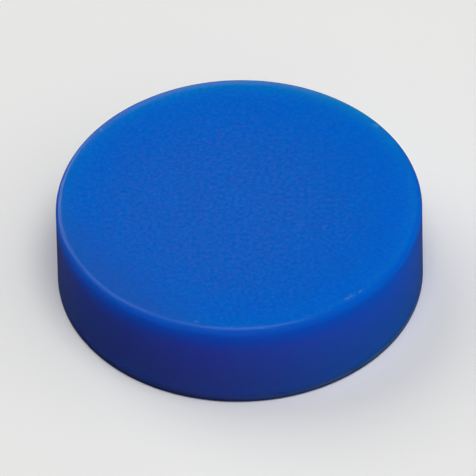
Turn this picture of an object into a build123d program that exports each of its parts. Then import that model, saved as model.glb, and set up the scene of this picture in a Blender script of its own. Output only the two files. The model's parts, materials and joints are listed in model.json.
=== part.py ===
from build123d import *

import os

# A hockey puck: one solid disc, moulded in one shot, with no core, cap, insert or seam.
# It lies flat. The origin is the centre of its bottom face, and +Z is up.
# All lengths are in millimetres.

# Driving dimensions
DIAMETER = 76.2  # three inches, the standard width of a puck
THICKNESS = 20.7  # between the two flat faces
TOP_EDGE_RADIUS = 1.7  # rounding at the top face, which the mould's rounded floor forms
BOTTOM_EDGE_RADIUS = 0.6  # the edge at the mould's opening comes out crisper

# Derived dimensions
RADIUS = DIAMETER / 2
TOP_FACE_RADIUS = RADIUS - TOP_EDGE_RADIUS
BOTTOM_FACE_RADIUS = RADIUS - BOTTOM_EDGE_RADIUS
SIDE_TOP = THICKNESS - TOP_EDGE_RADIUS  # the straight side runs from the bottom round to here


def half_section():
    """The puck cut from its axis out to its side, drawn on the XZ plane."""
    bottom_face = Line((0, 0), (BOTTOM_FACE_RADIUS, 0))
    # A negative radius makes each round bulge outwards.
    bottom_round = RadiusArc(bottom_face @ 1, (RADIUS, BOTTOM_EDGE_RADIUS), -BOTTOM_EDGE_RADIUS)
    side = Line(bottom_round @ 1, (RADIUS, SIDE_TOP))
    top_round = RadiusArc(side @ 1, (TOP_FACE_RADIUS, THICKNESS), -TOP_EDGE_RADIUS)
    top_face = Line(top_round @ 1, (0, THICKNESS))
    axis = Line(top_face @ 1, bottom_face @ 0)
    outline = Wire([bottom_face, bottom_round, side, top_round, top_face, axis])
    return Plane.XZ * make_face(outline)


def puck_body():
    """The whole puck, its half section swept once round the axis."""
    return revolve(half_section(), Axis.Z, 360)


os.makedirs("parts", exist_ok=True)
export_step(puck_body(), "parts/puck_body.step")
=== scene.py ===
import json
import math

import bmesh
import bpy
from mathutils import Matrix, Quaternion, Vector, noise


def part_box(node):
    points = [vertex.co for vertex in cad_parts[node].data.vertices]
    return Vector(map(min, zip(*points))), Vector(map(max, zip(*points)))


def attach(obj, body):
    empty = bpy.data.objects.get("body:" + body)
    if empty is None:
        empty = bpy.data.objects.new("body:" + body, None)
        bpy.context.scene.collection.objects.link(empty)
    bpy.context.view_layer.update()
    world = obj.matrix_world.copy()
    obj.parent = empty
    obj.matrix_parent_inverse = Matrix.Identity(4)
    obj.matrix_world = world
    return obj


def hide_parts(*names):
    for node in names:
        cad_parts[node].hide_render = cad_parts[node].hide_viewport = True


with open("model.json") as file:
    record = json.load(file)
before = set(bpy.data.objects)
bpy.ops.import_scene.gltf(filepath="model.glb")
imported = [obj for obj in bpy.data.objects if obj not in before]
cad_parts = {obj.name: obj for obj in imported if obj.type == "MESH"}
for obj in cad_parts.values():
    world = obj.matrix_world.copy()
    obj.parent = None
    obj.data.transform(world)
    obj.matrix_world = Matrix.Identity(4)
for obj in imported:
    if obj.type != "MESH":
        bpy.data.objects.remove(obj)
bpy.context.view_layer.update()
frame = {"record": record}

MM = 0.001

# ---- Sizes of the puck, all from the frame -------------------------------------------------
# The rim mount is the straight part of the side, between the bottom and the top edge's rounds.
BOX_LOW, BOX_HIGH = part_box("puck_body")
CENTRE = (BOX_LOW + BOX_HIGH) / 2
THICKNESS = BOX_HIGH.z - BOX_LOW.z
RIM = next(m for m in frame["record"]["mounts"] if m["name"] == "rim")
RADIUS = RIM["dims"]["r_mm"] * MM
SIDE_LENGTH = RIM["dims"]["length_mm"] * MM
BOTTOM_ROUND = RIM["pos_m"][2] - SIDE_LENGTH / 2
TOP_ROUND = THICKNESS - SIDE_LENGTH - BOTTOM_ROUND

# ---- Mesh ----------------------------------------------------------------------------------
FACE_RINGS = 88  # rings of quads across each flat face
RING_CROWDING = 0.4  # how much closer the rings are at the edge than on average
SEGMENTS = 8 * FACE_RINGS  # points round the puck
TOP_ROUND_STEPS = 12
BOTTOM_ROUND_STEPS = 6
SIDE_STEPS = 26

# Moulded faces are never quite flat. This much is lost in the hollows, over this distance.
UNEVENNESS = 0.03 * MM
UNEVENNESS_LENGTH = 22 * MM

# Small knocks: direction from the axis in degrees, distance out as a share of the radius, height
# as a share of the thickness, then length along the rim, width across it and depth.
KNOCKS = [
    (-52.0, 0.955, 1.0, 1.5 * MM, 0.45 * MM, 0.12 * MM),
    (-47.5, 0.962, 1.0, 0.7 * MM, 0.40 * MM, 0.10 * MM),
    (-105.0, 0.950, 1.0, 0.5 * MM, 0.40 * MM, 0.08 * MM),
    (38.0, 0.965, 1.0, 1.1 * MM, 0.50 * MM, 0.11 * MM),
    (141.0, 0.960, 1.0, 0.8 * MM, 0.40 * MM, 0.09 * MM),
    (-148.0, 0.995, 0.03, 1.3 * MM, 0.45 * MM, 0.12 * MM),
    (21.0, 0.995, 0.02, 0.9 * MM, 0.40 * MM, 0.10 * MM),
    (98.0, 0.995, 0.03, 1.2 * MM, 0.45 * MM, 0.12 * MM),
    (-28.0, 0.380, 1.0, 1.2 * MM, 0.30 * MM, 0.05 * MM),
    (-23.0, 0.505, 1.0, 0.6 * MM, 0.30 * MM, 0.05 * MM),
]

# ---- The puck's material -------------------------------------------------------------------
# Clouds are large soft patches that break up the other effects. Grain is the fine mould texture
# of the flat faces. Detail is how many finer layers are added to a noise.
CLOUD_SIZE = 9.0 * MM
CLOUD_DETAIL = 3.0
GRAIN_SIZE = 0.9 * MM
GRAIN_HEIGHT = 0.018 * MM
GRAIN_DETAIL = 2.0
GRAIN_HARDNESS = 0.55  # how strong its finer layers are
FINE_GRAIN_SIZE = GRAIN_SIZE / 2
FINE_GRAIN_DETAIL = 1.0
FINE_GRAIN_SHARE = 0.5  # how much of the fine grain is added in the bumps
SPECKLE = (0.15, 0.47, 0.18)  # how far the faces' colour varies from speck to speck

# The faces: clear blue. A painted sheen makes a patch near the middle dimmer and greyer, in flecks
# that follow the grain and are thickest there.
CLEAR_BLUE = (0.0003, 0.1160, 0.5450)
SHEEN_DIMMED_BLUE = (0.0003, 0.1110, 0.5060)
SHEEN_FLECK_BLUE = (0.0210, 0.1120, 0.5400)
SHEEN_CENTRE = (-5.0 * MM, -2.0 * MM, 0.0)
SHEEN_FULL = 17.0 * MM  # out from its centre, the painted sheen is full to here
SHEEN_END = 47.0 * MM  # and ends here
CLOUD_REACH = 9.0 * MM  # the clouds draw both of these in by up to this much
FLECK_START = 0.445  # the grain's height, from 0 to 1, at which the painted sheen's flecks start
FLECK_FULL = 0.945
SHEEN_FLECK_LIFT = 0.185  # the painted sheen adds this much to the grain's height

# The side: deeper and nearer violet than the faces. The deeper blue is painted shade, and the
# violet is a painted reflection of the floor.
SIDE_BLUE = (0.0420, 0.0760, 0.5000)
# Painted light: the side brighter and greener towards +X.
LIT_SIDE_BLUE = (0.0105, 0.1050, 0.5900)
UPPER_SIDE_BLUE = (0.0015, 0.0960, 0.5500)  # clearer where light comes through the top edge
UPPER_SIDE_DEPTH = 7.0 * MM
UPPER_SIDE_LEAST = 0.8  # how much of that is seen away from the side's painted light
SHADED_GAIN = (0.75, 0.95, 0.80)
BOTTOM_LIGHT_GAIN = (0.95, 1.20, 1.70)  # painted light: clearer towards the bottom edge, against the floor's shade there
BOTTOM_LIGHT_HEIGHT = 5.5 * MM
LOW_HIGHLIGHT_BLUE = (0.1000, 0.2200, 0.9800)  # a painted highlight: a pale line just above the bottom edge
LOW_HIGHLIGHT_HEIGHT = 1.1 * MM
LOW_HIGHLIGHT_CORE = 0.1 * MM  # the line is full this far from its middle
LOW_HIGHLIGHT_REACH = 0.6 * MM  # and ends here
LOW_HIGHLIGHT_CLOUDS = (0.30, 0.55)  # the clouds at which it is least and full
LOW_HIGHLIGHT_LEAST = 0.3  # how much of it is left where it is least

# Painted shade makes the faces duller towards one side, and a painted highlight makes the top edge
# more violet at the back, with painted shade on its green.
FACE_SHADE_BLUE = (0.0120, 0.0960, 0.4700)
FAR_HIGHLIGHT_BLUE = (0.0700, 0.0780, 0.6100)
FAR_HIGHLIGHT_IN = (1.65, 0.75)  # in from the rim, in top edge radii: where it starts and is full
FAR_HIGHLIGHT_DOWN = (1.0, 0.4)  # and down from the top face, in the same: where it ends and is full

# Effects that lie to one side of the puck: the direction from the axis in degrees, then how far
# out that way, in radii, the effect starts and is full.
FACE_SHADE = (-140.0, 0.65, 0.95)
FAR_HIGHLIGHT = (105.0, 0.5, 1.0)
LIT_SIDE = (0.0, -1 / 3, 1.0)
SHADED = (180.0, 1 / 6, 1.0)

# The knocks are paler and rougher than the rest.
WORN_BLUE = (0.1200, 0.2100, 0.6200)
WORN_GRAIN = (0.35, 0.60)  # the heights of the fine grain at which wear starts and is full
WORN_SHARE = 0.6
WORN_ROUGHNESS = 0.2

# Gloss and the light inside the body.
SIDE_SHINE = 0.15  # a moulded skin reflects less than a polished one, which would be 0.5
FACE_SHINE = 0.05
SIDE_ROUGHNESS = 0.15
FACE_ROUGHNESS = 0.21
CLOUD_ROUGHNESS = 0.06
BODY_IOR = 1.45
SCATTER_DEPTH = 30.0 * MM  # how far blue light spreads inside the body
SCATTER_PER_COLOUR = (0.003, 0.8, 1.0)  # red and green don't get as far

# ---- Stage ---------------------------------------------------------------------------------
FLOOR_HALF_WIDTH = 12.0
FLOOR_COLOUR = (0.80, 0.80, 0.79)
# A pale floor would wash out the depth of the puck's side. So it is pale only to the camera, and
# darker to light that it sends on, and darker still where a glossy surface reflects it.
FLOOR_BOUNCE = (0.25, 0.25, 0.25)
FLOOR_REFLECTION = (0.06, 0.06, 0.06)
BACKDROP = 0.75  # what the camera sees beyond the floor
AMBIENT = 0.03  # the even light from all round

# Soft round lamps far away: the azimuth, counted from +X towards +Y, the elevation and the width
# in degrees, then the strength, and True for a lamp that is only seen in reflections or False for
# one that only lights the puck and the floor.
LAMPS = [
    ("overhead", 292, 75, 38, 1.55, False),
    ("rear_overhead", 140, 45, 50, 1.15, False),
    ("overhead_strip", 270, 80, 36, 1.0, True),
    ("rear_strip", 164, 50, 44, 1.0, True),
    ("window_strip", 131, 14, 44, 1.15, True),
    ("fill", 343, 18, 125, 1.7, False),
]

# ---- Camera --------------------------------------------------------------------------------
CAMERA_ELEVATION = math.radians(44.05)
CAMERA_ROLL = math.radians(-1.2)
CAMERA_DISTANCE = 3.0
FRAME_WIDTH = 99.07 * MM  # what the picture spans at the puck
PUCK_RIGHT_OF_CENTRE = 0.34 * MM
PUCK_BELOW_CENTRE = 0.13 * MM
SENSOR_WIDTH = 36.0


# ---- Building the mesh ---------------------------------------------------------------------
def on_circle(step, count, radius, z):
    angle = 2 * math.pi * step / count
    return Vector((radius * math.cos(angle), radius * math.sin(angle), z))


def side_stations():
    """(radius, z) of each ring of the side, from the bottom face's edge to the top face's edge."""
    stations = []
    for i in range(BOTTOM_ROUND_STEPS):
        turn = math.pi / 2 * i / BOTTOM_ROUND_STEPS
        r = RADIUS - BOTTOM_ROUND * (1 - math.sin(turn))
        stations.append((r, BOTTOM_ROUND * (1 - math.cos(turn))))
    for i in range(SIDE_STEPS):
        stations.append((RADIUS, BOTTOM_ROUND + SIDE_LENGTH * i / SIDE_STEPS))
    for i in range(TOP_ROUND_STEPS + 1):
        turn = math.pi / 2 * i / TOP_ROUND_STEPS
        r = RADIUS - TOP_ROUND * (1 - math.cos(turn))
        stations.append((r, THICKNESS - TOP_ROUND * (1 - math.sin(turn))))
    return stations


def ring_step(i, j):
    """Where grid corner (i, j) comes on its square ring, counted round from the +X side."""
    ring = max(abs(i), abs(j))
    if i == ring:
        return j % (8 * ring)
    if j == ring:
        return 2 * ring - i
    if i == -ring:
        return 4 * ring - j
    return 6 * ring + i


def fill_face(bm, outer, radius, z, faces_up):
    """A flat face of quads only: a square grid whose square rings are drawn as circles."""
    span = range(-FACE_RINGS, FACE_RINGS + 1)
    grid = {(0, 0): bm.verts.new((0, 0, z))}
    for i in span:
        for j in span:
            ring = max(abs(i), abs(j))
            share = ring / FACE_RINGS
            if ring == FACE_RINGS:
                grid[i, j] = outer[ring_step(i, j)]
            elif ring:
                out = radius * share * (1 + RING_CROWDING * (1 - share))
                grid[i, j] = bm.verts.new(on_circle(ring_step(i, j), 8 * ring, out, z))
    for i in span[:-1]:
        for j in span[:-1]:
            corners = [grid[i, j], grid[i + 1, j], grid[i + 1, j + 1], grid[i, j + 1]]
            bm.faces.new(corners if faces_up else reversed(corners))


def knock_strength(point, knock):
    """1 in the middle of the knock, and a seventh at its length or its width from there."""
    direction, out_share, height_share, length, width, _ = knock
    angle = math.radians(direction)
    outward = Vector((math.cos(angle), math.sin(angle), 0))
    along = Vector((-outward.y, outward.x, 0))
    place = outward * RADIUS * out_share + Vector((0, 0, THICKNESS * height_share))
    offset = point - place
    across = (offset - along * offset.dot(along)).length
    reach = (offset.dot(along) / length) ** 2 + (across / width) ** 2
    return math.exp(-2 * reach)


def weather(bm, wear):
    """Adds the faint unevenness and the knocks, always inwards, and marks the knocks as worn."""
    bm.normal_update()
    moves = []
    for vert in bm.verts:
        hollow = 0.5 + 0.5 * noise.noise(vert.co / UNEVENNESS_LENGTH)
        depth = UNEVENNESS * hollow
        worn = 0.0
        for knock in KNOCKS:
            strength = knock_strength(vert.co, knock)
            depth += knock[-1] * strength
            worn = max(worn, strength)
        moves.append(vert.normal * -depth)
        vert[wear] = worn
    for vert, move in zip(bm.verts, moves):
        vert.co += move


def puck_mesh():
    bm = bmesh.new()
    wear = bm.verts.layers.float.new("wear")
    rings = []
    for radius, z in side_stations():
        rings.append([bm.verts.new(on_circle(i, SEGMENTS, radius, z)) for i in range(SEGMENTS)])
    for low, high in zip(rings, rings[1:]):
        for i in range(SEGMENTS):
            j = (i + 1) % SEGMENTS
            bm.faces.new((low[i], low[j], high[j], high[i]))
    fill_face(bm, rings[0], RADIUS - BOTTOM_ROUND, BOX_LOW.z, False)
    fill_face(bm, rings[-1], RADIUS - TOP_ROUND, BOX_HIGH.z, True)
    weather(bm, wear)
    for face in bm.faces:
        face.smooth = True
    mesh = bpy.data.meshes.new("puck_skin")
    bm.to_mesh(mesh)
    bm.free()
    return mesh


# ---- Materials -----------------------------------------------------------------------------
class Nodes:
    """Short calls that build the node tree of a material or the world."""

    def __init__(self, owner):
        owner.use_nodes = True
        self.tree = owner.node_tree

    def put(self, socket, value):
        if isinstance(value, bpy.types.NodeSocket):
            self.tree.links.new(value, socket)
        elif socket.type == "RGBA":
            socket.default_value = (*value, 1.0)
        else:
            socket.default_value = value

    def fill(self, node, inputs):
        for socket, value in inputs.items():
            self.put(node.inputs[socket], value)

    def add(self, kind, inputs=None, **settings):
        node = self.tree.nodes.new(kind)
        for name, value in settings.items():
            setattr(node, name, value)
        self.fill(node, inputs or {})
        return node

    def math(self, operation, *values):
        inputs = dict(enumerate(values))
        return self.add("ShaderNodeMath", inputs, operation=operation).outputs[0]

    def vector_math(self, operation, *values):
        inputs = dict(enumerate(values))
        return self.add("ShaderNodeVectorMath", inputs, operation=operation).outputs[0]

    def measure(self, operation, first, second):
        """A number from two vectors, such as their distance."""
        inputs = {0: first, 1: second}
        return self.add("ShaderNodeVectorMath", inputs, operation=operation).outputs["Value"]

    def ramp(self, value, low, high, to_low=0.0, to_high=1.0):
        """Smoothly from to_low to to_high as value goes from low to high."""
        inputs = {0: value, 1: low, 2: high, 3: to_low, 4: to_high}
        node = self.add("ShaderNodeMapRange", inputs, interpolation_type="SMOOTHSTEP")
        return node.outputs[0]

    def noise(self, place, size, detail, hardness=0.5):
        """Noise from about 0 to 1 whose lumps are about size across."""
        inputs = {"Vector": place, "Scale": 1 / size, "Detail": detail, "Roughness": hardness}
        return self.add("ShaderNodeTexNoise", inputs).outputs[0]

    def blend(self, share, first, second):
        """The number first where share is 0, and the number second where it is 1."""
        return self.math("MULTIPLY_ADD", share, second - first, first)

    def mix(self, share, first, second):
        """The colour first where share is 0, and the colour second where it is 1."""
        inputs = {"Factor": share, "A": first, "B": second}
        return self.add("ShaderNodeMix", inputs, data_type="RGBA").outputs["Result"]

    def gain(self, share, colour, factors):
        """The colour where share is 0, and the colour times factors where it is 1."""
        return self.vector_math("MULTIPLY", colour, self.mix(share, (1, 1, 1), factors))


class PuckNodes(Nodes):
    """The puck's material. What several of its effects depend on is made once, at the start."""

    def __init__(self, material):
        super().__init__(material)
        place = self.add("ShaderNodeTexCoord").outputs["Object"]
        x, y, self.height = self.add("ShaderNodeSeparateXYZ", {0: place}).outputs
        self.flat = self.add("ShaderNodeCombineXYZ", {0: x, 1: y}).outputs[0]
        self.out = self.measure("DISTANCE", self.flat, (0, 0, 0))
        self.on_face = self.ramp(self.out, RADIUS - TOP_ROUND, RADIUS - TOP_ROUND / 3, 1.0, 0.0)
        self.lit_side = self.towards(*LIT_SIDE)
        self.clouds = self.noise(place, CLOUD_SIZE, CLOUD_DETAIL)
        self.grain = self.noise(place, GRAIN_SIZE, GRAIN_DETAIL, GRAIN_HARDNESS)
        self.fine_grain = self.noise(place, FINE_GRAIN_SIZE, FINE_GRAIN_DETAIL)
        elsewhere = self.vector_math("ADD", place, (1, 1, 1))  # so specks don't follow the grain
        self.specks = self.noise(elsewhere, GRAIN_SIZE, GRAIN_DETAIL, GRAIN_HARDNESS)
        knocked = self.add("ShaderNodeAttribute", attribute_name="wear").outputs["Fac"]
        self.worn = self.math("MULTIPLY", knocked, self.ramp(self.fine_grain, *WORN_GRAIN))

    def towards(self, azimuth, start, full):
        """0 to 1 from start to full, in radii out from the axis towards the azimuth."""
        angle = math.radians(azimuth)
        way = (math.cos(angle), math.sin(angle), 0)
        along = self.measure("DOT_PRODUCT", self.flat, way)
        return self.ramp(along, RADIUS * start, RADIUS * full)

    def face_colour(self):
        # Painted sheen: a dimmer, greyer flecked patch near the middle of the faces.
        reach = self.measure("DISTANCE", self.flat, SHEEN_CENTRE)
        reach = self.math("MULTIPLY_ADD", self.clouds, CLOUD_REACH, reach)
        sheen = self.ramp(reach, SHEEN_FULL, SHEEN_END, 1.0, 0.0)
        fleck_height = self.math("MULTIPLY_ADD", sheen, SHEEN_FLECK_LIFT, self.grain)
        colour = self.mix(sheen, CLEAR_BLUE, SHEEN_DIMMED_BLUE)
        colour = self.mix(self.ramp(fleck_height, FLECK_START, FLECK_FULL), colour, SHEEN_FLECK_BLUE)
        # Painted shade: the faces duller towards one side.
        return self.mix(self.towards(*FACE_SHADE), colour, FACE_SHADE_BLUE)

    def side_colour(self):
        # Painted light on the side towards +X, over the side's painted shade and painted
        # reflection.
        colour = self.mix(self.lit_side, SIDE_BLUE, LIT_SIDE_BLUE)
        colour = self.gain(self.towards(*SHADED), colour, SHADED_GAIN)
        upper = self.ramp(self.height, THICKNESS - UPPER_SIDE_DEPTH, THICKNESS - TOP_ROUND)
        upper = self.math("MULTIPLY", upper, self.blend(self.lit_side, UPPER_SIDE_LEAST, 1.0))
        colour = self.mix(upper, colour, UPPER_SIDE_BLUE)
        # Painted light near the bottom edge.
        bottom_light = self.ramp(self.height, 0.0, BOTTOM_LIGHT_HEIGHT, 1.0, 0.0)
        colour = self.gain(bottom_light, colour, BOTTOM_LIGHT_GAIN)
        return self.mix(self.low_highlight(), colour, LOW_HIGHLIGHT_BLUE)

    def low_highlight(self):
        """How strong the painted highlight above the bottom edge is."""
        off_line = self.math("ABSOLUTE", self.math("SUBTRACT", self.height, LOW_HIGHLIGHT_HEIGHT))
        line = self.ramp(off_line, LOW_HIGHLIGHT_CORE, LOW_HIGHLIGHT_REACH, 1.0, 0.0)
        patches = self.ramp(self.clouds, *LOW_HIGHLIGHT_CLOUDS, LOW_HIGHLIGHT_LEAST, 1.0)
        return self.math("MULTIPLY", self.math("MULTIPLY", line, self.lit_side), patches)

    def far_highlight(self):
        """How strong the painted violet highlight at the back of the top edge is, with its painted
        shade on the green.
        """
        start, full = [RADIUS - TOP_ROUND * radii for radii in FAR_HIGHLIGHT_IN]
        outwards = self.ramp(self.out, start, full)
        end, full = [THICKNESS - TOP_ROUND * radii for radii in FAR_HIGHLIGHT_DOWN]
        upwards = self.ramp(self.height, end, full)
        return self.math("MULTIPLY", self.towards(*FAR_HIGHLIGHT), self.math("MULTIPLY", outwards, upwards))

    def colour(self):
        colour = self.mix(self.on_face, self.side_colour(), self.face_colour())
        # Painted highlight at the back of the top edge, with painted shade on its green.
        colour = self.mix(self.far_highlight(), colour, FAR_HIGHLIGHT_BLUE)
        colour = self.mix(self.math("MULTIPLY", self.worn, WORN_SHARE), colour, WORN_BLUE)
        above_average = self.math("SUBTRACT", self.specks, 0.5)
        swing = self.math("MULTIPLY", above_average, self.on_face)
        swing = self.vector_math("MULTIPLY_ADD", swing, SPECKLE, (1, 1, 1))
        return self.vector_math("MULTIPLY", colour, swing)

    def roughness(self):
        rough = self.blend(self.on_face, SIDE_ROUGHNESS, FACE_ROUGHNESS)
        rough = self.math("MULTIPLY_ADD", self.clouds, CLOUD_ROUGHNESS, rough)
        return self.math("MULTIPLY_ADD", self.worn, WORN_ROUGHNESS, rough)

    def shine(self):
        on_flat = self.ramp(self.out, RADIUS - 2 * TOP_ROUND, RADIUS - TOP_ROUND, 1.0, 0.0)
        return self.blend(on_flat, SIDE_SHINE, FACE_SHINE)

    def normal(self):
        """The mould grain of the faces, which goes over the top edge and ends there."""
        top = self.ramp(self.height, THICKNESS - 2 * TOP_ROUND, THICKNESS - TOP_ROUND / 2)
        grained = self.math("MAXIMUM", self.on_face, top)
        texture = self.math("MULTIPLY_ADD", self.fine_grain, FINE_GRAIN_SHARE, self.grain)
        texture = self.math("MULTIPLY", texture, grained)
        inputs = {"Height": texture, "Distance": GRAIN_HEIGHT, "Strength": 1.0}
        return self.add("ShaderNodeBump", inputs).outputs[0]


def puck_material():
    material = bpy.data.materials.new("puck_blue")
    nodes = PuckNodes(material)
    inputs = {
        "Base Color": nodes.colour(),
        "Roughness": nodes.roughness(),
        "Specular IOR Level": nodes.shine(),
        "Normal": nodes.normal(),
        "IOR": BODY_IOR,
        "Subsurface Weight": 1.0,
        "Subsurface Radius": SCATTER_PER_COLOUR,
        "Subsurface Scale": SCATTER_DEPTH,
    }
    nodes.fill(nodes.tree.nodes["Principled BSDF"], inputs)
    return material


def floor_material():
    material = bpy.data.materials.new("floor_paint")
    nodes = Nodes(material)
    ray = nodes.add("ShaderNodeLightPath").outputs
    colour = nodes.mix(ray["Is Camera Ray"], FLOOR_BOUNCE, FLOOR_COLOUR)
    colour = nodes.mix(ray["Is Glossy Ray"], colour, FLOOR_REFLECTION)
    inputs = {"Base Color": colour, "Roughness": 1.0, "Specular IOR Level": 0.0}
    nodes.fill(nodes.tree.nodes["Principled BSDF"], inputs)
    return material


# ---- The scene -----------------------------------------------------------------------------
def link(name, data):
    thing = bpy.data.objects.new(name, data)
    bpy.context.scene.collection.objects.link(thing)
    return thing


def add_puck():
    puck = link("puck_skin", puck_mesh())
    puck.data.materials.append(puck_material())
    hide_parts("puck_body")
    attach(puck, "root")


def add_floor():
    s = FLOOR_HALF_WIDTH
    mesh = bpy.data.meshes.new("floor")
    mesh.from_pydata([(-s, -s, 0), (s, -s, 0), (s, s, 0), (-s, s, 0)], [], [(0, 1, 2, 3)])
    mesh.materials.append(floor_material())
    link("floor", mesh)


def add_lamp(name, azimuth, elevation, width, strength, reflection):
    """A lamp that is only seen in reflections, or one that only lights and is never reflected."""
    a, e = math.radians(azimuth), math.radians(elevation)
    towards = Vector((math.cos(e) * math.cos(a), math.cos(e) * math.sin(a), math.sin(e)))
    data = bpy.data.lights.new(name, "SUN")
    data.angle = math.radians(width)
    data.energy = strength
    lamp = link(name, data)
    lamp.visible_diffuse = not reflection
    lamp.visible_glossy = reflection
    lamp.rotation_mode = "QUATERNION"
    lamp.rotation_quaternion = towards.to_track_quat("Z", "Y")


def add_world():
    world = bpy.data.worlds.new("world")
    bpy.context.scene.world = world
    nodes = Nodes(world)
    seen = nodes.add("ShaderNodeLightPath").outputs["Is Camera Ray"]
    inputs = {"Color": (1, 1, 1), "Strength": nodes.blend(seen, AMBIENT, BACKDROP)}
    nodes.fill(nodes.tree.nodes["Background"], inputs)


def add_camera():
    data = bpy.data.cameras.new("camera")
    data.sensor_width = SENSOR_WIDTH
    data.lens = SENSOR_WIDTH * CAMERA_DISTANCE / FRAME_WIDTH
    data.shift_x = -PUCK_RIGHT_OF_CENTRE / FRAME_WIDTH
    data.shift_y = PUCK_BELOW_CENTRE / FRAME_WIDTH
    back = Vector((0, -math.cos(CAMERA_ELEVATION), math.sin(CAMERA_ELEVATION)))
    camera = link("camera", data)
    camera.location = CENTRE + back * CAMERA_DISTANCE
    camera.rotation_mode = "QUATERNION"
    facing = (-back).to_track_quat("-Z", "Y")
    camera.rotation_quaternion = facing @ Quaternion((0, 0, 1), CAMERA_ROLL)
    bpy.context.scene.camera = camera


add_puck()
add_floor()
add_world()
for lamp in LAMPS:
    add_lamp(*lamp)
add_camera()
bpy.context.scene.view_settings.view_transform = "Standard"
bpy.context.scene.cycles.use_denoising = True
